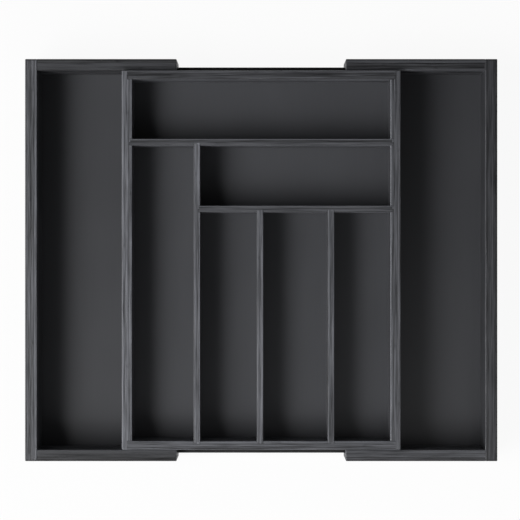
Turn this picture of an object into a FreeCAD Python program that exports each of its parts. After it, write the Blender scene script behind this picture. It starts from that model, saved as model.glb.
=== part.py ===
import FreeCAD, Part
import os
import re
import Sketcher

# Expandable cutlery tray of stained bamboo boards: a six-bay centre box, and two wings that slide
# out from under it on tongues along its front and back.
# X runs along the slides, Y to the back, Z up. The origin is the middle of the base plane, and the
# wings stand fully drawn out.

SIZES = {
    # the tray as a whole, and how far a wing slides
    "tray_depth": 430,
    "centre_width": 297.2,
    "wing_travel": 90,
    "closing_gap": 1,
    "meeting_gap": 1,
    # boards
    "wing_height": 44,
    "centre_height": 44,
    "wing_wall_thickness": 12.9,
    "rail_thickness": 12.2,
    "side_wall_thickness": 11,
    "end_wall_thickness": 9.4,
    "divider_thickness": 7,
    "arris_radius": 0.9,
    # bays of the centre box, the last of each row taking what is left
    "left_bay_width": 65.5,
    "second_bay_width": 60.3,
    "third_bay_width": 68.6,
    "back_bay_depth": 63.5,
    "second_bay_depth": 64.2,
    # floor panels, and the wood under their grooves
    "floor_thickness": 3,
    "floor_seat": 4,
    "wing_floor_lip": 2.5,
    "centre_floor_lip": 9,
    # joints between boards
    "rabbet_share": 0.5,
    "wall_dado_share": 0.3,
    "divider_dado_share": 0.35,
    "joint_fit": 0.1,
    # running gaps between the wings and the centre box
    "side_gap": 0.7,
    "ride_gap": 0.3,
    "tongue_gap": 0.3,
    # tongues on the centre box
    "tongue_height": 6,
    "tongue_reach": 5.4,
    "tongue_seat_share": 0.4,
    "tongue_rise_share": 0.5,
    # stop pins in the rails, and the channel that they run in
    "pin_diameter": 2.5,
    "pin_inset": 6,
    "channel_depth": 2,
    "stop_gap": 0.3,
    # finishing nails in the corners
    "nail_diameter": 1.6,
    "nail_length": 30,
    "nail_head_diameter": 2.6,
    "nail_head_thickness": 1.2,
    "nail_tip_length": 2.4,
    "nail_point_share": 0.2,
    "nail_low_share": 0.35,
    "nail_high_share": 0.8,
    "nail_fit": 0.05,
    # how far a cut runs on into the open
    "cut_overrun": 1,
}

# Places as formulas of those sizes, on the right or the back; the other side mirrors them
centre_outer_x = "(centre_width / 2)"
centre_inner_x = f"({centre_outer_x} - side_wall_thickness)"
wing_inner_x = f"({centre_outer_x} + closing_gap + wing_travel)"
wing_outer_x = f"({wing_inner_x} + wing_wall_thickness)"
rail_end_x = "(meeting_gap / 2 + wing_travel)"
pin_x = f"({rail_end_x} + pin_inset)"
stop_x = f"({pin_x} + pin_diameter / 2 + stop_gap)"

tray_outer_y = "(tray_depth / 2)"
rail_inner_y = f"({tray_outer_y} - rail_thickness)"
rail_middle_y = f"({tray_outer_y} - rail_thickness / 2)"
centre_outer_y = f"({rail_inner_y} - side_gap)"
centre_inner_y = f"({centre_outer_y} - end_wall_thickness)"
end_wall_middle_y = f"({centre_outer_y} - end_wall_thickness / 2)"
tongue_root_y = f"({centre_outer_y} - end_wall_thickness * tongue_seat_share)"
tongue_tip_y = f"({centre_outer_y} + tongue_reach)"
tongue_groove_y = f"({tongue_tip_y} + tongue_gap)"
channel_floor_y = f"({tongue_tip_y} - channel_depth)"
pin_tip_y = f"({channel_floor_y} + tongue_gap)"

wing_floor_z = ("wing_floor_lip", "(wing_floor_lip + floor_thickness)")
wing_z = ("0", "wing_height")
centre_base_z = f"({wing_floor_z[1]} + ride_gap)"
centre_top_z = f"({centre_base_z} + centre_height)"
centre_z = (centre_base_z, centre_top_z)
centre_floor_low_z = f"({centre_base_z} + centre_floor_lip)"
centre_floor_z = (centre_floor_low_z, f"({centre_floor_low_z} + floor_thickness)")
divider_z = (centre_floor_z[1], centre_top_z)
tongue_middle_z = f"({centre_base_z} + centre_height * tongue_rise_share)"

# Dividers: the two across the box, then the three that run to the front wall
back_divider_high_y = f"({centre_inner_y} - back_bay_depth)"
back_divider_y = (f"({back_divider_high_y} - divider_thickness)", back_divider_high_y)
cross_divider_high_y = f"({back_divider_y[0]} - second_bay_depth)"
cross_divider_y = (f"({cross_divider_high_y} - divider_thickness)", cross_divider_high_y)
long_divider_low_x = f"(left_bay_width - {centre_inner_x})"
long_divider_x = (long_divider_low_x, f"({long_divider_low_x} + divider_thickness)")
left_short_low_x = f"({long_divider_x[1]} + second_bay_width)"
left_short_x = (left_short_low_x, f"({left_short_low_x} + divider_thickness)")
right_short_low_x = f"({left_short_x[1]} + third_bay_width)"
right_short_x = (right_short_low_x, f"({right_short_low_x} + divider_thickness)")

side_dado = "side_wall_thickness * wall_dado_share"
end_dado = "end_wall_thickness * wall_dado_share"
divider_dado = "divider_thickness * divider_dado_share"
corner_rabbet = "side_wall_thickness * rabbet_share"
groove_depth = "(floor_seat + joint_fit)"

LEFT, RIGHT = -1, 1
FRONT, BACK = -1, 1
WINGS = {"left": LEFT, "right": RIGHT}
ENDS = {"front": FRONT, "back": BACK}
NAIL_SHARES = ("nail_low_share", "nail_high_share")

doc = FreeCAD.newDocument("CutleryTray")
sheet = doc.addObject("Spreadsheet::Sheet", "Sizes")
for row, (alias, value) in enumerate(SIZES.items(), 1):
    sheet.set(f"A{row}", alias)
    sheet.set(f"B{row}", str(value))
    sheet.setAlias(f"B{row}", alias)
doc.recompute()

ALIAS = re.compile(r"\b(" + "|".join(SIZES) + r")\b")
nodes = []


# Bind one property of an object to a formula of the sheet's sizes
def bind(thing, prop, formula):
    thing.setExpression(prop, ALIAS.sub(r"Sizes.\1", formula))


# A span is a low and a high formula along one axis
def sided(span, side):
    low, high = span
    return span if side > 0 else (f"-({high})", f"-({low})")


def both_ways(reach):
    return (f"-({reach})", reach)


def around(place, width):
    return (f"({place} - ({width}) / 2)", f"({place} + ({width}) / 2)")


def eased(span, gap):
    return (f"({span[0]} - {gap})", f"({span[1]} + {gap})")


def middle(span):
    return f"(({span[0]}) + ({span[1]})) / 2"


def extent(span):
    return f"({span[1]}) - ({span[0]})"


# Put a block's corner at the low end of its three spans, seen from an origin
def lay_block(block, spans, origin=("0", "0", "0")):
    for prop, axis, span, start in zip(("Length", "Width", "Height"), "xyz", spans, origin):
        bind(block, prop, extent(span))
        bind(block, f"Placement.Base.{axis}", f"({span[0]}) - ({start})")


# Turn a round piece from Z to the axis that it lies along, and put its base at the span's low end
def lay_round(piece, axis, span, across, origin=("0", "0", "0")):
    turns = {"x": (FreeCAD.Vector(0, 1, 0), 90), "y": (FreeCAD.Vector(1, 0, 0), -90)}
    piece.Placement = FreeCAD.Placement(FreeCAD.Vector(), FreeCAD.Rotation(*turns[axis]))
    bind(piece, "Height", extent(span))
    low = [across[0], across[1]]
    low.insert("xyz".index(axis), span[0])
    for name, place, start in zip("xyz", low, origin):
        bind(piece, f"Placement.Base.{name}", f"({place}) - ({start})")


# A board padded along its run from a section across it, its open arrises eased, then cut for its joints
class Board:
    def __init__(self, label, spans, run, open_ends=()):
        self.run = run
        across = 1 if run == "x" else 0
        self.origin = (middle(spans[0]), middle(spans[1]), spans[2][0])
        self.body = doc.addObject("PartDesign::Body", label)
        self.body.Label = label
        for axis, place in zip("xyz", self.origin):
            bind(self.body, f"Placement.Base.{axis}", place)
        section = self.draw_section(extent(spans[across]), extent(spans[2]))
        blank = self.body.newObject("PartDesign::Pad", f"{label}_blank")
        blank.Profile = section
        blank.Midplane = True
        bind(blank, "Length", extent(spans[1 - across]))
        doc.recompute()
        arris = self.body.newObject("PartDesign::Fillet", f"{label}_arris")
        arris.Base = (blank, self.open_edges(blank.Shape, open_ends))
        bind(arris, "Radius", "arris_radius")
        nodes.append(self.body)

    # A rectangle that stands on the section's own X axis, even about its Y axis
    def draw_section(self, thickness, height):
        role = "YZ_Plane" if self.run == "x" else "XZ_Plane"
        plane = next(part for part in self.body.Origin.OriginFeatures if part.Role == role)
        sketch = self.body.newObject("Sketcher::SketchObject", f"{self.body.Name}_section")
        sketch.AttachmentSupport = [(plane, "")]
        sketch.MapMode = "FlatFace"
        corners = [(-1, 0), (1, 0), (1, 1), (-1, 1)]
        points = [FreeCAD.Vector(*corner, 0) for corner in corners]
        for start, end in zip(points, points[1:] + points[:1]):
            sketch.addGeometry(Part.LineSegment(start, end), False)
        for line in range(len(points)):
            sketch.addConstraint(Sketcher.Constraint("Coincident", line, 2, (line + 1) % len(points), 1))
            sketch.addConstraint(Sketcher.Constraint("Vertical" if line % 2 else "Horizontal", line))
        sketch.addConstraint(Sketcher.Constraint("Symmetric", 0, 1, 0, 2, -1, 1))
        wide = sketch.addConstraint(Sketcher.Constraint("DistanceX", 0, 1, 0, 2, 2))
        high = sketch.addConstraint(Sketcher.Constraint("DistanceY", 1, 1, 1, 2, 1))
        for constraint, name, formula in ((wide, "thickness", thickness), (high, "height", height)):
            sketch.renameConstraint(constraint, name)
            bind(sketch, f"Constraints.{name}", formula)
        return sketch

    # The two long top edges, and the top and upright edges of each end that stands open
    def open_edges(self, shape, open_ends):
        box = shape.BoundBox
        names = []
        for number, edge in enumerate(shape.Edges, 1):
            spot = edge.CenterOfMass
            level = round(2 * spot.z / box.ZMax)
            end = round(spot.x / box.XMax if self.run == "x" else spot.y / box.YMax)
            if (level == 2 and end == 0) or (level > 0 and end in open_ends):
                names.append(f"Edge{number}")
        return names

    def notch(self, name, x, y, z):
        cut = self.body.newObject("PartDesign::SubtractiveBox", f"{self.body.Name}_{name}")
        lay_block(cut, (x, y, z), self.origin)

    def bore(self, name, axis, span, across, diameter):
        cut = self.body.newObject("PartDesign::SubtractiveCylinder", f"{self.body.Name}_{name}")
        lay_round(cut, axis, span, across, self.origin)
        bind(cut, "Radius", f"({diameter}) / 2")

    # Holes for a column of nails that are driven in from the face at x on that side
    def nail_holes(self, side, name, face, y, base, height):
        shank = sided((f"{face} - nail_length - nail_fit", face), side)
        head = sided((f"{face} - nail_head_thickness - nail_fit", f"{face} + cut_overrun"), side)
        for share in NAIL_SHARES:
            across = (y, f"{base} + {height} * {share}")
            self.bore(f"{name}_{share}_shank", "x", shank, across, "nail_diameter + 2 * nail_fit")
            self.bore(f"{name}_{share}_head", "x", head, across, "nail_head_diameter + 2 * nail_fit")


def panel(label, spans):
    block = doc.addObject("Part::Box", label)
    block.Label = label
    lay_block(block, spans)
    nodes.append(block)


def rod(name, axis, span, across, diameter):
    piece = doc.addObject("Part::Cylinder", name)
    lay_round(piece, axis, span, across)
    bind(piece, "Radius", f"({diameter}) / 2")
    return piece


# One nail with its head flush in the face at x on that side and its point towards the middle
def nail(name, side, face, across):
    head_x = f"{face} - nail_head_thickness"
    tip_x = f"{face} - nail_length"
    shank_x = f"{tip_x} + nail_tip_length"
    head = rod(f"{name}_head", "x", sided((head_x, face), side), across, "nail_head_diameter")
    shank = rod(f"{name}_shank", "x", sided((shank_x, head_x), side), across, "nail_diameter")
    tip = doc.addObject("Part::Cone", f"{name}_tip")
    lay_round(tip, "x", sided((tip_x, shank_x), side), across)
    point_radius, root_radius = "Radius1", "Radius2"
    if side < 0:
        point_radius, root_radius = root_radius, point_radius
    bind(tip, point_radius, "nail_diameter * nail_point_share / 2")
    bind(tip, root_radius, "nail_diameter / 2")
    whole = doc.addObject("Part::MultiFuse", name)
    whole.Shapes = [head, shank, tip]
    return whole


def group(label, pieces):
    together = doc.addObject("Part::Compound", label)
    together.Label = label
    together.Links = pieces
    nodes.append(together)


# Two nails in each corner at the front and back of one side
def corner_nails(name, side, face, reach_y, base, height):
    pieces = []
    for end, way in ENDS.items():
        for share in NAIL_SHARES:
            across = (f"{way} * {reach_y}", f"{base} + {height} * {share}")
            pieces.append(nail(f"{name}_{end}_{share}", side, face, across))
    return pieces


# Side wall of the centre box: rabbets take the end walls, and the tongues cross its ends
def centre_side_wall(name, side):
    wall = Board(f"centre_{name}_wall", (sided((centre_inner_x, centre_outer_x), side),
                                         both_ways(centre_outer_y), centre_z), "y", (FRONT, BACK))
    whole_z = eased(centre_z, "cut_overrun")
    inside_x = f"({centre_inner_x} - cut_overrun)"
    rabbet_x = sided((inside_x, f"{centre_inner_x} + {corner_rabbet}"), side)
    across_x = sided((inside_x, f"{centre_outer_x} + cut_overrun"), side)
    tongue_z = eased(around(tongue_middle_z, "tongue_height"), "joint_fit")
    for end, way in ENDS.items():
        rabbet_y = sided((f"{centre_inner_y} - joint_fit", f"{centre_outer_y} + cut_overrun"), way)
        wall.notch(f"{end}_rabbet", rabbet_x, rabbet_y, whole_z)
        tongue_y = sided((tongue_root_y, f"{centre_outer_y} + cut_overrun"), way)
        wall.notch(f"{end}_tongue_seat", across_x, tongue_y, tongue_z)
        wall.nail_holes(side, end, centre_outer_x, f"{way} * {end_wall_middle_y}", centre_base_z,
                        "centre_height")
    groove_x = sided((inside_x, f"{centre_inner_x} + {groove_depth}"), side)
    groove_z = (centre_floor_z[0], f"{centre_floor_z[1]} + joint_fit")
    wall.notch("floor_groove", groove_x, both_ways(f"({centre_inner_y} + {groove_depth})"), groove_z)
    dado_x = sided((inside_x, f"{centre_inner_x} + {side_dado}"), side)
    dado_z = (divider_z[0], f"{centre_top_z} + cut_overrun")
    crossing = [back_divider_y, cross_divider_y] if side == RIGHT else [back_divider_y]
    for number, divider_y in enumerate(crossing, 1):
        wall.notch(f"dado_{number}", dado_x, eased(divider_y, "joint_fit"), dado_z)


# Front or back wall of the centre box: a seat for its tongue outside, the floor's groove inside
def centre_end_wall(name, way):
    length_x = both_ways(f"({centre_inner_x} + {corner_rabbet})")
    wall = Board(f"centre_{name}_wall", (length_x, sided((centre_inner_y, centre_outer_y), way),
                                         centre_z), "x")
    whole_x = eased(length_x, "cut_overrun")
    inside_y = f"({centre_inner_y} - cut_overrun)"
    wall.notch("tongue_seat", whole_x, sided((tongue_root_y, f"{centre_outer_y} + cut_overrun"), way),
               eased(around(tongue_middle_z, "tongue_height"), "joint_fit"))
    wall.notch("floor_groove", whole_x, sided((inside_y, f"{centre_inner_y} + {groove_depth}"), way),
               (centre_floor_z[0], f"{centre_floor_z[1]} + joint_fit"))
    for side_name, side in WINGS.items():
        wall.nail_holes(side, side_name, centre_outer_x, f"{way} * {end_wall_middle_y}", centre_base_z,
                        "centre_height")
    return wall


def centre_walls():
    for name, side in WINGS.items():
        centre_side_wall(name, side)
    centre_end_wall("back", BACK)
    front = centre_end_wall("front", FRONT)
    dado_y = sided((f"{centre_inner_y} - cut_overrun", f"{centre_inner_y} + {end_dado}"), FRONT)
    dado_z = (divider_z[0], f"{centre_top_z} + cut_overrun")
    for number, divider_x in enumerate((long_divider_x, left_short_x, right_short_x), 1):
        front.notch(f"dado_{number}", eased(divider_x, "joint_fit"), dado_y, dado_z)
    panel("centre_floor", (both_ways(f"({centre_inner_x} + floor_seat)"),
                           both_ways(f"({centre_inner_y} + floor_seat)"), centre_floor_z))


# The dividers stand on the floor, each end let into a dado in the board that it meets
def dividers():
    whole_z = eased(divider_z, "cut_overrun")
    wall_end_x = f"({centre_inner_x} + {side_dado})"
    wall_end_y = f"-({centre_inner_y} + {end_dado})"
    back = Board("back_divider", (both_ways(wall_end_x), back_divider_y, divider_z), "x")
    long_end_y = f"({back_divider_y[0]} + {divider_dado})"
    back.notch("dado", eased(long_divider_x, "joint_fit"),
               (f"{back_divider_y[0]} - cut_overrun", long_end_y), whole_z)
    long = Board("long_divider", (long_divider_x, (wall_end_y, long_end_y), divider_z), "y")
    cross_end_x = f"({long_divider_x[1]} - {divider_dado})"
    long.notch("dado", (cross_end_x, f"{long_divider_x[1]} + cut_overrun"),
               eased(cross_divider_y, "joint_fit"), whole_z)
    cross = Board("cross_divider", ((cross_end_x, wall_end_x), cross_divider_y, divider_z), "x")
    short_end_y = f"({cross_divider_y[0]} + {divider_dado})"
    for name, divider_x in (("left", left_short_x), ("right", right_short_x)):
        cross.notch(f"{name}_dado", eased(divider_x, "joint_fit"),
                    (f"{cross_divider_y[0]} - cut_overrun", short_end_y), whole_z)
        Board(f"{name}_short_divider", (divider_x, (wall_end_y, short_end_y), divider_z), "y")


# A tongue strip glued along each end of the box, with a closed channel for the wings' stop pins
def tongues():
    channel_z = around(tongue_middle_z, "(pin_diameter + 2 * tongue_gap)")
    for name, way in ENDS.items():
        strip = doc.addObject("Part::Box", f"{name}_strip")
        lay_block(strip, (both_ways(centre_outer_x), sided((tongue_root_y, tongue_tip_y), way),
                          around(tongue_middle_z, "tongue_height")))
        channel = doc.addObject("Part::Box", f"{name}_channel")
        lay_block(channel, (both_ways(stop_x),
                            sided((channel_floor_y, f"{tongue_tip_y} + cut_overrun"), way), channel_z))
        tongue = doc.addObject("Part::Cut", f"{name}_tongue")
        tongue.Label = f"{name}_tongue"
        tongue.Base = strip
        tongue.Tool = channel
        nodes.append(tongue)


# Rail of a wing: butted to the side wall, grooved for the tongue and the floor, bored for its stop pin
def wing_rail(wing, side, name, way):
    rail_x = sided((rail_end_x, wing_inner_x), side)
    rail = Board(f"{wing}_{name}_rail", (rail_x, sided((rail_inner_y, tray_outer_y), way), wing_z), "x",
                 (-side,))
    whole_x = eased(rail_x, "cut_overrun")
    inside_y = f"({rail_inner_y} - cut_overrun)"
    rail.notch("tongue_groove", whole_x, sided((inside_y, tongue_groove_y), way),
               eased(around(tongue_middle_z, "tongue_height"), "tongue_gap"))
    rail.notch("floor_groove", whole_x, sided((inside_y, f"{rail_inner_y} + {groove_depth}"), way),
               (wing_floor_z[0], f"{wing_floor_z[1]} + joint_fit"))
    rail.bore("pin_hole", "y", sided((inside_y, f"{tray_outer_y} + cut_overrun"), way),
              (f"{side} * {pin_x}", tongue_middle_z), "pin_diameter + 2 * nail_fit")
    rail.nail_holes(side, "end", wing_outer_x, f"{way} * {rail_middle_y}", "0", "wing_height")


def wing_parts(wing, side):
    wall = Board(f"{wing}_side_wall", (sided((wing_inner_x, wing_outer_x), side),
                                       both_ways(tray_outer_y), wing_z), "y", (FRONT, BACK))
    groove_x = sided((f"{wing_inner_x} - cut_overrun", f"{wing_inner_x} + {groove_depth}"), side)
    wall.notch("floor_groove", groove_x, both_ways(f"({rail_inner_y} + {groove_depth})"),
               (wing_floor_z[0], f"{wing_floor_z[1]} + joint_fit"))
    pins = []
    for name, way in ENDS.items():
        wall.nail_holes(side, name, wing_outer_x, f"{way} * {rail_middle_y}", "0", "wing_height")
        wing_rail(wing, side, name, way)
        pins.append(rod(f"{wing}_{name}_pin", "y", sided((pin_tip_y, tray_outer_y), way),
                        (f"{side} * {pin_x}", tongue_middle_z), "pin_diameter"))
    panel(f"{wing}_floor", (sided((rail_end_x, f"{wing_inner_x} + floor_seat"), side),
                            both_ways(f"({rail_inner_y} + floor_seat)"), wing_floor_z))
    group(f"{wing}_nails", corner_nails(wing, side, wing_outer_x, rail_middle_y, "0", "wing_height"))
    group(f"{wing}_stop_pins", pins)


# Every object has to be sound before anything is written
def write_parts():
    doc.recompute()
    failed = [item.Label for item in doc.Objects if {"Invalid", "Error"} & set(item.State)]
    unsound = [node.Label for node in nodes if node.Shape.isNull() or not node.Shape.isValid()]
    if failed or unsound:
        raise RuntimeError(f"failed: {failed}, unsound: {unsound}")
    os.makedirs("parts", exist_ok=True)
    for node in nodes:
        node.Shape.exportStep(f"parts/{node.Label}.step")
        print(node.Label, len(node.Shape.Solids), "solids", round(node.Shape.Volume), "mm3")


centre_walls()
dividers()
tongues()
centre_fasteners = []
for wing_name, wing_side in WINGS.items():
    centre_fasteners += corner_nails(f"centre_{wing_name}", wing_side, centre_outer_x, end_wall_middle_y,
                                     centre_base_z, "centre_height")
group("centre_nails", centre_fasteners)
for wing_name, wing_side in WINGS.items():
    wing_parts(wing_name, wing_side)
write_parts()
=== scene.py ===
import bpy
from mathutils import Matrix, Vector


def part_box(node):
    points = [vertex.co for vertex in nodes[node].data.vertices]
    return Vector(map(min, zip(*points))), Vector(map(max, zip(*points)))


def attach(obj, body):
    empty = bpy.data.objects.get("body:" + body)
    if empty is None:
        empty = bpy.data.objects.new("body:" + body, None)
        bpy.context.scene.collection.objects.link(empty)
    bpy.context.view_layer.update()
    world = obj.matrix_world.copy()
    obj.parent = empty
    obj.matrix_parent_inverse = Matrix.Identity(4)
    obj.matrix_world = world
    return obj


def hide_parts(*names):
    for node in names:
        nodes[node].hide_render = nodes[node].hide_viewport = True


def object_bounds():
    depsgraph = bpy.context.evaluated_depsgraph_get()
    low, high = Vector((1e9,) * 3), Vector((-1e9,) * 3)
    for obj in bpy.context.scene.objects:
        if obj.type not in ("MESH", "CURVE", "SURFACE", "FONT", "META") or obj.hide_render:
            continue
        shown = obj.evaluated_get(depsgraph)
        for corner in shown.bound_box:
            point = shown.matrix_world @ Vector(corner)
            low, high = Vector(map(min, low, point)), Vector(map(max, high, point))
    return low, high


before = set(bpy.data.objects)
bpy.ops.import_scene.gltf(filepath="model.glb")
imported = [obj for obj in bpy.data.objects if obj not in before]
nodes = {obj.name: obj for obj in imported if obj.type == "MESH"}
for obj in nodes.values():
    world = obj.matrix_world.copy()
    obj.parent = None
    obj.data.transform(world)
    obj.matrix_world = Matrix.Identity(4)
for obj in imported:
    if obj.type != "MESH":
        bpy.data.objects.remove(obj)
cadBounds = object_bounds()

scene = bpy.context.scene


# A socket that takes part in sums, so that shader maths reads as plain expressions
class Wire:
    def __init__(self, graph, socket):
        self.graph = graph
        self.socket = socket

    def maths(self, operation, *values):
        return self.graph.node("ShaderNodeMath", {"operation": operation}, dict(enumerate(values)))

    def __add__(self, other):
        return self.maths("ADD", self, other)

    def __sub__(self, other):
        return self.maths("SUBTRACT", self, other)

    def __rsub__(self, other):
        return self.maths("SUBTRACT", other, self)

    def __mul__(self, other):
        return self.maths("MULTIPLY", self, other)

    def __truediv__(self, other):
        return self.maths("DIVIDE", self, other)

    def __abs__(self):
        return self.maths("ABSOLUTE", self)

    __radd__ = __add__
    __rmul__ = __mul__

    def lower(self, other):
        return self.maths("MINIMUM", self, other)

    def higher(self, other):
        return self.maths("MAXIMUM", self, other)

    def whole(self):
        return self.maths("FLOOR", self)

    # How far it is from the nearest whole number
    def offWhole(self):
        return abs(self - (self + 0.5).whole())

    # 0 at start, 1 at end, smooth between; start may be the larger
    def fade(self, start, end):
        ends = {"Value": self, "From Min": start, "From Max": end, "To Min": 0.0, "To Max": 1.0}
        return self.graph.node("ShaderNodeMapRange", {"interpolation_type": "SMOOTHSTEP"}, ends)


# A node tree under construction
class Graph:
    def __init__(self, tree):
        self.tree = tree
        tree.nodes.clear()

    # Settings are set before sockets are filled, because some settings change the sockets
    def node(self, kind, settings=None, sockets=None, output=0):
        made = self.tree.nodes.new(kind)
        for name, value in (settings or {}).items():
            if name == "items":
                while len(made.index_switch_items) < value:
                    made.index_switch_items.new()
            else:
                setattr(made, name, value)
        for key, value in (sockets or {}).items():
            if isinstance(value, Wire):
                self.tree.links.new(value.socket, made.inputs[key])
            else:
                made.inputs[key].default_value = value
        return Wire(self, made.outputs[output]) if made.outputs else made

    def split(self, vector):
        return [self.node("ShaderNodeSeparateXYZ", None, {0: vector}, axis) for axis in range(3)]

    def join(self, x, y, z):
        return self.node("ShaderNodeCombineXYZ", None, {0: x, 1: y, 2: z})

    # X, Y and Z of a point on the piece, or of the way that its surface faces there
    def point(self):
        return self.split(self.node("ShaderNodeTexCoord", None, None, "Object"))

    def facing(self):
        return self.split(self.node("ShaderNodeTexCoord", None, None, "Normal"))

    # Colours a and b in shares of 1 - amount and amount
    def tint(self, amount, a, b):
        return self.node("ShaderNodeMix", {"data_type": "RGBA"}, {0: amount, 6: a, 7: b}, 2)

    def scaled(self, colour, amount):
        return self.node("ShaderNodeVectorMath", {"operation": "SCALE"}, {0: colour, "Scale": amount})

    # Noise about zero
    def noise(self, vector, detail=2.0, coarseness=0.5):
        sockets = {"Vector": vector, "Scale": 1.0, "Detail": detail, "Roughness": coarseness}
        return self.node("ShaderNodeTexNoise", {"noise_dimensions": "3D"}, sockets) - 0.5

    def chance(self, value):
        return self.node("ShaderNodeTexWhiteNoise", {"noise_dimensions": "1D"}, {"W": value})

    def bump(self, height, strength, distance):
        sockets = {"Strength": strength, "Distance": distance, "Height": height}
        return self.node("ShaderNodeBump", None, sockets)

    def output(self, shader):
        self.node("ShaderNodeOutputMaterial", None, {"Surface": shader})

    def surface(self, sockets):
        self.output(self.node("ShaderNodeBsdfPrincipled", None, sockets))


def newMaterial(name):
    material = bpy.data.materials.new(name)
    material.use_nodes = True
    graph = Graph(material.node_tree)
    return material, graph


# A level, plus each mark on the surface times its weight
def weighed(level, marks, weights):
    for mark, weight in weights.items():
        level = level + marks[mark] * weight
    return level


stainCast = (0.97, 1.0, 1.12)         # cool, in red, green and blue


def stain(level):
    return (*[level * share for share in stainCast], 1.0)


# Lacquered wood, whose marks also change its gloss and its relief
def lacquer(g, wood, marks, colour):
    height = weighed(0.0, marks, wood["heights"])
    g.surface({
        "Base Color": colour,
        "Roughness": weighed(wood["roughness"], marks, wood["dulling"]),
        "Normal": g.bump(height, wood["reliefShare"], wood["relief"]),
        "Coat Weight": wood["coat"],
        "Coat Roughness": wood["coatRoughness"],
    })


# Stained bamboo: thin strips glued side by side and row on row, with fibres and knuckles along them
bamboo = {
    "soaked": 0.34,                   # share of the board's tone where the stain soaks in
    "hard": 1.68,                     # and on hard fibres, that take less of it
    "wornAndHighlit": 2.3,                      # and on an arris where it is rubbed thin, and where a highlight is painted
    "darkArris": 0.15,                   # and on an arris painted dark: painted shade, and the darker outline painted along the outermost arrises
    "faces": (0.083, 0.038),          # tone of the upright faces of boards along X and along Y: painted light, lighter where the faces turn to the front light
    "even": 0.055,                    # the top's tone at which the faces have theirs
    "follow": 0.5,                    # power by which the faces follow other tones
    "plyWidth": 0.0035,               # strips across the thickness
    "rowHeight": 0.0148,              # strips up the face
    "fewest": 2,                      # strips either way
    "apart": {"ply": 7.31, "row": 3.17, "board": 13.7, "shift": 0.37},   # steps from chance to chance
    "fibre": {"width": 0.0016, "length": 0.06, "detail": 2.0},
    "thread": {"width": 0.0005, "length": 0.02, "detail": 1.0},
    "coarseness": 0.55,
    "slip": {"along": 2.0, "up": 40.0},                   # most that grain moves on from strip to strip
    "clouds": {"along": 9.0, "across": 30.0, "board": 5.0},              # in a metre, and from board to board
    "glue": {"width": 0.0007, "inside": (0.4, 0.5), "level": 0.75, "cloud": 2.0},   # inside counts in strips
    "knuckle": {"every": 0.27, "width": 0.0035},
    "arris": (0.0018, 0.00054),       # from the edge to where it starts and to where it is full
    "endGrain": (0.0005, 0.0002),     # the same
    "rim": (0.0022, 0.00132),         # the same for the darker outline painted along the tray's outermost top arrises
    "rimShare": 0.75,
    "halfway": 0.0001,                # where a board's near arris gives way to its far one
    "rubbed": {"level": 0.05, "fibre": 0.6},              # wear on every arris
    "shade": 0.52,                    # from soaked to hard, before the marks below change it
    "shades": {"fibre": 2.3, "thread": 1.0, "strip": 1.0, "cloud": 0.5, "knuckle": -0.14, "glue": -0.6,
               "endGrain": -0.16},
    "roughness": 0.46,
    "dulling": {"fibre": 0.5, "thread": 0.3, "knuckle": -0.06, "glue": 0.1, "endGrain": 0.12},
    "relief": 0.00022,
    "reliefShare": 0.7,
    "heights": {"thread": 1.0, "fibre": 0.8, "glue": -0.7, "knuckle": 0.3},
    "coat": 0.08,
    "coatRoughness": 0.35,
}

# Each board's run, 0 along X and 1 along Y, the tone of its planed top, how far its strips differ, and how
# far its left or front arris and then its right or back arris get a painted highlight or, below zero, painted
# shade
# The top tones are partly painted sheen: boards along Y are lighter, as they catch the light from the left;
# the rest is tone that differs from board to board
boards = {
    "centre_left_wall": (1, 0.123, 0.5, 0.15, 0.05),
    "centre_right_wall": (1, 0.076, 0.3, 0.8, -0.1),
    "centre_back_wall": (0, 0.057, 0.65, -0.7, 0.15),
    "centre_front_wall": (0, 0.078, 0.4, -0.1, 0.15),
    "back_divider": (0, 0.061, 0.9, -0.2, 0.9),
    "cross_divider": (0, 0.056, 0.5, -0.5, 0.8),
    "long_divider": (1, 0.107, 0.25, -0.4, 0.6),
    "left_short_divider": (1, 0.11, 0.4, -0.3, 0.0),
    "right_short_divider": (1, 0.085, 0.4, 0.0, 0.35),
    # The tongues' near-black tone is partly painted shade, for the shadow they sit in beside the walls
    "back_tongue": (0, 0.006, 0.5, 0.0, 0.0),
    "front_tongue": (0, 0.006, 0.5, 0.0, 0.0),
    "left_side_wall": (1, 0.094, 0.6, 0.0, 0.05),
    "left_back_rail": (0, 0.031, 1.2, -0.1, 0.0),
    "left_front_rail": (0, 0.024, 1.4, 0.0, 1.0),
    "right_side_wall": (1, 0.034, 0.45, 0.3, 0.0),
    "right_back_rail": (0, 0.042, 1.6, 0.3, 0.0),
    "right_front_rail": (0, 0.053, 0.3, 0.0, -0.15),
}


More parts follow.
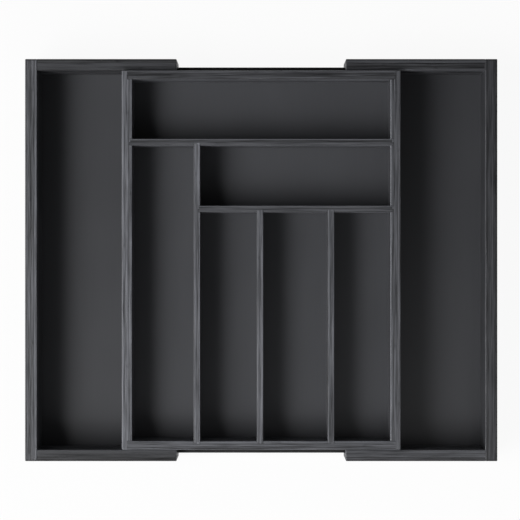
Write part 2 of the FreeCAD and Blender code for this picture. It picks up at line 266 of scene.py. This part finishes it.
def stainedBamboo(name, run, tone, contrast, paintedArrisLight, seed):
    low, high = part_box(name)
    size = high - low
    centre = (low + high) / 2
    side = 1 - run
    material, g = newMaterial("stainedBamboo." + name)
    axes = g.point()
    along, across, up = axes[run], axes[side], axes[2]
    upward = g.facing()[2]            # 1 on a top, 0 on an upright face
    # Painted light: upright faces get a tone of their own, lighter on boards along X, whose inner faces turn
    # to the front light, and darker on boards along Y
    paintedFaceTone = bamboo["faces"][run] * (tone / bamboo["even"]) ** bamboo["follow"]
    toneWithPaintedFaces = paintedFaceTone + abs(upward) * (tone - paintedFaceTone)

    # Which strip a point is in, counted across the thickness and up the face
    plies = max(bamboo["fewest"], round(size[side] / bamboo["plyWidth"]))
    rows = max(bamboo["fewest"], round(size[2] / bamboo["rowHeight"]))
    ply = (across - low[side]) * (plies / size[side])
    row = (up - low[2]) * (rows / size[2])
    apart = bamboo["apart"]
    strip = ply.whole() * apart["ply"] + row.whole() * apart["row"] + seed * apart["board"]
    stripTone = g.chance(strip) - 0.5
    shift = g.chance(strip + apart["shift"])

    # Fibres: noise drawn out along the run, moved on from strip to strip
    slip = bamboo["slip"]

    def streaks(kind):
        x = (along + shift * slip["along"]) / kind["length"]
        y = (across + seed) / kind["width"]
        z = up / kind["width"] + shift * slip["up"]
        return g.noise(g.join(x, y, z), kind["detail"], bamboo["coarseness"])

    fibre = streaks(bamboo["fibre"])
    thread = streaks(bamboo["thread"])
    clouds = bamboo["clouds"]
    rise = up * clouds["across"] + seed * clouds["board"]
    cloud = g.noise(g.join(along * clouds["along"], across * clouds["across"], rise))

    # Glue lines between strips, not at the board's own faces, that come and go along the run
    glue = bamboo["glue"]

    def glueLines(count, total, width):
        inner = count.fade(*glue["inside"]) * (total - count).fade(*glue["inside"])
        return inner * count.offWhole().fade(glue["width"] / width, 0.0)

    lines = glueLines(ply, plies, size[side] / plies).higher(glueLines(row, rows, size[2] / rows))
    lines = lines * (glue["level"] + cloud * glue["cloud"])

    # Knuckles: a dark bar across each strip, at its own place
    every = bamboo["knuckle"]["every"]
    knuckle = ((along / every + shift).offWhole() * every).fade(bamboo["knuckle"]["width"], 0.0)

    # The nearest edge of the board: the middle one of the distances to its three pairs of faces
    gaps = [size[i] / 2 - abs(axis - centre[i]) for i, axis in enumerate(axes)]
    edge = gaps[0].lower(gaps[1]).higher(gaps[0].higher(gaps[1]).lower(gaps[2]))
    arris = edge.fade(*bamboo["arris"])
    endGrain = gaps[run].fade(*bamboo["endGrain"])

    # Near is the board's left or front half, far its right or back half
    far = (across - centre[side]).fade(-bamboo["halfway"], bamboo["halfway"])
    near = 1.0 - far

    def eitherHalf(nearShare, farShare):
        return near * max(nearShare, 0.0) + far * max(farShare, 0.0)

    # Every arris is rubbed a little paler, real wear; where a board's last two numbers are above zero, that
    # arris also gets a painted highlight, and below zero painted shade
    rubbed = bamboo["rubbed"]
    wearAndHighlight = arris * (rubbed["level"] + fibre * rubbed["fibre"] + eitherHalf(paintedArrisLight[0], paintedArrisLight[1]))
    # A darker outline painted along the tray's outermost top arrises, joined with the painted shade on
    # arrises whose board numbers are below zero
    rims = [(cadBounds[1][i] - abs(axes[i])).fade(*bamboo["rim"]) for i in (0, 1)]
    rim = rims[0].higher(rims[1]) * upward.higher(0.0) * bamboo["rimShare"]
    arrisDarkening = rim.higher(arris * eitherHalf(-paintedArrisLight[0], -paintedArrisLight[1]))

    marks = {
        "fibre": fibre,
        "thread": thread,
        "strip": stripTone * contrast,
        "cloud": cloud,
        "knuckle": knuckle,
        "glue": lines,
        "endGrain": endGrain,
    }
    shade = weighed(bamboo["shade"], marks, bamboo["shades"])
    colour = g.tint(shade, stain(bamboo["soaked"]), stain(bamboo["hard"]))
    # Paler arrises are real wear plus painted highlight, darker arrises painted shade and the painted outline
    colour = g.tint(wearAndHighlight, colour, stain(bamboo["wornAndHighlit"]))
    colour = g.tint(arrisDarkening, colour, stain(bamboo["darkArris"]))
    lacquer(g, bamboo, marks, g.scaled(colour, toneWithPaintedFaces))
    return material


# Floor panels: the same stain on a smooth sheet under satin lacquer
panel = {
    "deep": 0.88,                     # shares of the panel's tone
    "pale": 1.12,
    "apart": 3.3,                     # from one panel's grain to the next one's
    "grain": {"width": 0.0022, "length": 0.09, "detail": 3.0, "coarseness": 0.6},
    "clouds": {"across": 14.0, "along": 8.0},
    "peel": {"width": 0.0016, "detail": 1.0},             # orange peel of the lacquer
    "shade": 0.5,                     # from deep to pale, before the marks below change it
    "shades": {"grain": 0.6, "cloud": 0.8},
    "roughness": 0.5,
    "dulling": {"cloud": 0.1, "grain": 0.08},
    "relief": 0.00004,
    "reliefShare": 0.3,
    "heights": {"peel": 1.0, "grain": 0.6},
    "coat": 0.05,
    "coatRoughness": 0.35,
}
panels = {"centre_floor": 0.05, "left_floor": 0.042, "right_floor": 0.039}   # tones


def lacqueredPanel(name, tone, seed):
    material, g = newMaterial("lacqueredPanel." + name)
    x, y, z = g.point()
    grain, clouds, peel = panel["grain"], panel["clouds"], panel["peel"]
    drawnOut = g.join((x + seed) / grain["width"], y / grain["length"], z)
    marks = {
        "grain": g.noise(drawnOut, grain["detail"], grain["coarseness"]),
        "cloud": g.noise(g.join(x * clouds["across"], y * clouds["along"], z + seed)),
        "peel": g.noise(g.join(*[axis / peel["width"] for axis in (x, y, z)]), peel["detail"]),
    }
    shade = weighed(panel["shade"], marks, panel["shades"])
    lacquer(g, panel, marks, g.tint(shade, stain(tone * panel["deep"]), stain(tone * panel["pale"])))
    return material


for number, (name, (run, tone, contrast, *paintedArrisLight)) in enumerate(boards.items()):
    nodes[name].material_slots[0].material = stainedBamboo(name, run, tone, contrast, paintedArrisLight, number + 1)
for number, (name, tone) in enumerate(panels.items()):
    nodes[name].material_slots[0].material = lacqueredPanel(name, tone, number * panel["apart"])
print("boards and panels finished:", len(boards) + len(panels))


# Nails and stop pins: blackened steel, flush with the wood, all from one tree
nail = {
    "Head across": 0.0026,
    "Head thickness": 0.0012,
    "Head easing": 0.00025,
    "Shank across": 0.0016,
    "Length": 0.03,
    "Tip length": 0.0024,
    "Tip across": 0.0003,
    "Sides": 24,
}
pin = {
    "Head across": 0.0025,
    "Head thickness": 0.0048,
    "Head easing": 0.0003,
    "Shank across": 0.0025,
    "Length": 0.0092,
    "Tip length": 0.0003,
    "Tip across": 0.0019,
    "Sides": 24,
}
headStep = 0.00001                    # slant of a head's under side, which a path can't have quite flat
# Piece: the node that it stands for, its body, its kind, the axis it is driven along and the ends with heads
fasteners = {
    "centreNails": ("centre_nails", "centre", nail, 0, (-1, 1)),
    "leftNails": ("left_nails", "left_wing", nail, 0, (-1,)),
    "rightNails": ("right_nails", "right_wing", nail, 0, (1,)),
    "leftStopPins": ("left_stop_pins", "left_wing", pin, 1, (-1, 1)),
    "rightStopPins": ("right_stop_pins", "right_wing", pin, 1, (-1, 1)),
}
steel = {
    "dark": 0.09,
    "bright": 0.2,
    "speckle": {"width": 0.0004, "detail": 3.0, "coarseness": 0.6},
    "shade": 0.5,                     # from dark to bright, before the speckle changes it
    "shades": {"speckle": 1.5},
    "roughness": 0.42,
    "dulling": {"speckle": 0.3},
}


def blackenedSteel():
    material, g = newMaterial("blackenedSteel")
    speckle = steel["speckle"]
    place = g.join(*[axis / speckle["width"] for axis in g.point()])
    marks = {"speckle": g.noise(place, speckle["detail"], speckle["coarseness"])}
    shade = weighed(steel["shade"], marks, steel["shades"])
    g.surface({
        "Base Color": g.tint(shade, stain(steel["dark"]), stain(steel["bright"])),
        "Metallic": 1.0,
        "Roughness": weighed(steel["roughness"], marks, steel["dulling"]),
    })
    return material


# A straight path whose thickness follows the nail, set at each place and turned along its heading
def fastenerTree():
    tree = bpy.data.node_groups.new("fastenerTree", "GeometryNodeTree")
    sockets = {"Places": "Geometry", "Finish": "Material"}
    sockets.update({name: "Int" if name == "Sides" else "Float" for name in nail})
    tree.interface.new_socket("Fasteners", in_out="OUTPUT", socket_type="NodeSocketGeometry")
    for name, kind in sockets.items():
        tree.interface.new_socket(name, in_out="INPUT", socket_type="NodeSocket" + kind)
    g = Graph(tree)
    given = {name: g.node("NodeGroupInput", None, None, name) for name in sockets}
    head, shank, tip = [given[name] * 0.5 for name in ("Head across", "Shank across", "Tip across")]
    ease = given["Head easing"]
    depth = given["Head thickness"]
    profile = [
        (0.0, head - ease),
        (ease, head),
        (depth, head),
        (depth + headStep, shank),
        (given["Length"] - given["Tip length"], shank),
        (given["Length"], tip),
    ]
    index = g.node("GeometryNodeInputIndex")

    def pick(values):
        items = {number + 1: value for number, value in enumerate(values)}
        settings = {"data_type": "FLOAT", "items": len(values)}
        return g.node("GeometryNodeIndexSwitch", settings, {"Index": index, **items})

    line = g.node("GeometryNodeMeshLine", None, {"Count": len(profile)})
    place = g.join(0.0, 0.0, pick([z for z, radius in profile]))
    line = g.node("GeometryNodeSetPosition", None, {"Geometry": line, "Position": place})
    path = g.node("GeometryNodeMeshToCurve", None, {0: line})
    ring = g.node("GeometryNodeCurvePrimitiveCircle", None, {"Resolution": given["Sides"], "Radius": 1.0})
    scale = pick([radius for z, radius in profile])
    sockets = {"Curve": path, "Profile Curve": ring, "Fill Caps": True, "Scale": scale}
    body = g.node("GeometryNodeCurveToMesh", None, sockets)
    heading = g.node("GeometryNodeInputNamedAttribute", {"data_type": "FLOAT_VECTOR"}, {"Name": "heading"})
    turn = g.node("FunctionNodeAlignRotationToVector", {"axis": "Z"}, {"Vector": heading})
    sockets = {"Points": given["Places"], "Instance": body, "Rotation": turn}
    driven = g.node("GeometryNodeInstanceOnPoints", None, sockets)
    driven = g.node("GeometryNodeRealizeInstances", None, {"Geometry": driven})
    driven = g.node("GeometryNodeSetMaterial", None, {"Geometry": driven, "Material": given["Finish"]})
    g.node("NodeGroupOutput", None, {"Fasteners": driven})
    return tree


def addMesh(name, points, faces):
    mesh = bpy.data.meshes.new(name)
    mesh.from_pydata(points, [], faces)
    made = bpy.data.objects.new(name, mesh)
    scene.collection.objects.link(made)
    return made


def driveFasteners(piece, node, kind, axis, ends, tree, finish):
    low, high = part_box(node)
    radius = kind["Head across"] / 2
    digits = 5                        # to a hundredth of a millimetre, so that one place isn't counted twice
    a, b = [i for i in range(3) if i != axis]
    spots = {i: sorted({round(low[i] + radius, digits), round(high[i] - radius, digits)}) for i in (a, b)}
    places, headings = [], []
    for end in ends:
        for first in spots[a]:
            for second in spots[b]:
                place = Vector((0.0, 0.0, 0.0))
                place[axis] = high[axis] if end > 0 else low[axis]
                place[a], place[b] = first, second
                heading = Vector((0.0, 0.0, 0.0))
                heading[axis] = -end
                places.append(place)
                headings.append(heading)
    made = addMesh(piece, places, [])
    store = made.data.attributes.new("heading", "FLOAT_VECTOR", "POINT")
    store.data.foreach_set("vector", [value for heading in headings for value in heading])
    modifier = made.modifiers.new("fasteners", "NODES")
    modifier.node_group = tree
    values = {**kind, "Finish": finish}
    for item in tree.interface.items_tree:
        if item.in_out == "INPUT" and item.name in values:
            modifier[item.identifier] = values[item.name]
    solid = made.evaluated_get(bpy.context.evaluated_depsgraph_get())
    mesh = bpy.data.meshes.new_from_object(solid)
    made.modifiers.remove(modifier)
    made.data = mesh
    return made


finish = blackenedSteel()
tree = fastenerTree()
for piece, (node, body, kind, axis, ends) in fasteners.items():
    made = driveFasteners(piece, node, kind, axis, ends, tree, finish)
    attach(made, body)
    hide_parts(node)
    print(piece, "driven:", len(made.data.polygons), "faces")


# Stage: a pale floor and a ring of backdrop, white to the camera and in reflections
stage = {
    "floorSize": 24.0,
    "backdropHeight": 5.0,
    "pale": (0.8, 0.8, 0.8, 1.0),
    "white": (1.0, 1.0, 1.0, 1.0),
    "glow": 0.93,                     # share of plain white, the rest keeps the shadow
}


def paleStage():
    material, g = newMaterial("paleStage")
    rays = [g.node("ShaderNodeLightPath", None, None, kind)
            for kind in ("Is Camera Ray", "Is Glossy Ray", "Is Transmission Ray")]
    seen = rays[0].higher(rays[1]).higher(rays[2]) * stage["glow"]
    matt = g.node("ShaderNodeBsdfDiffuse", None, {"Color": stage["pale"]})
    white = g.node("ShaderNodeEmission", None, {"Color": stage["white"], "Strength": 1.0})
    g.output(g.node("ShaderNodeMixShader", None, {0: seen, 1: matt, 2: white}))
    return material


def addStage():
    half = stage["floorSize"] / 2
    corners = [(-half, -half), (half, -half), (half, half), (-half, half)]
    points = [(x, y, z) for z in (0.0, stage["backdropHeight"]) for x, y in corners]
    walls = [(i, i + 4, (i + 1) % 4 + 4, (i + 1) % 4) for i in range(4)]
    material = paleStage()
    floor = addMesh("studioFloor", points[:4], [(0, 1, 2, 3)])
    backdrop = addMesh("studioBackdrop", points, walls)
    for made in (floor, backdrop):
        made.data.materials.append(material)


# Light: a large soft box far off at the front left, a low strip at the front, a small card at the right
# and a dim even fill
lamps = {
    "softBox": {"place": (-2.65, -1.1, 2.53), "size": (3.4, 1.8), "power": 172.0},
    "frontStrip": {"place": (-0.28, -0.92, 0.77), "size": (1.13, 0.5), "power": 2.5},
    "rightCard": {"place": (0.4, -0.3, 0.5), "size": (0.5, 0.5), "power": 0.55},
}
lampAim = (0.0, 0.0, 0.02)
fill = {"colour": (1.0, 1.0, 1.0, 1.0), "strength": 0.04}


def addLight():
    for name, lamp in lamps.items():
        data = bpy.data.lights.new(name, "AREA")
        data.shape = "RECTANGLE"
        data.size, data.size_y = lamp["size"]
        data.energy = lamp["power"]
        made = bpy.data.objects.new(name, data)
        made.location = lamp["place"]
        made.rotation_euler = (Vector(lampAim) - made.location).to_track_quat("-Z", "Y").to_euler()
        made.visible_camera = False
        scene.collection.objects.link(made)
    world = bpy.data.worlds.new("studioFill")
    world.use_nodes = True
    ground = world.node_tree.nodes["Background"]
    ground.inputs["Color"].default_value = fill["colour"]
    ground.inputs["Strength"].default_value = fill["strength"]
    scene.world = world


# Camera: straight above the tray
view = {"height": 1.724, "lens": 108.8, "sensor": 36.0, "offset": (-0.0013, 0.0001)}


def addCamera():
    data = bpy.data.cameras.new("fromAbove")
    data.lens = view["lens"]
    data.sensor_width = view["sensor"]
    camera = bpy.data.objects.new("fromAbove", data)
    camera.location = (*view["offset"], view["height"])
    scene.collection.objects.link(camera)
    scene.camera = camera


addStage()
addLight()
addCamera()
scene.view_settings.view_transform = "Standard"
print("stage, light and camera set")
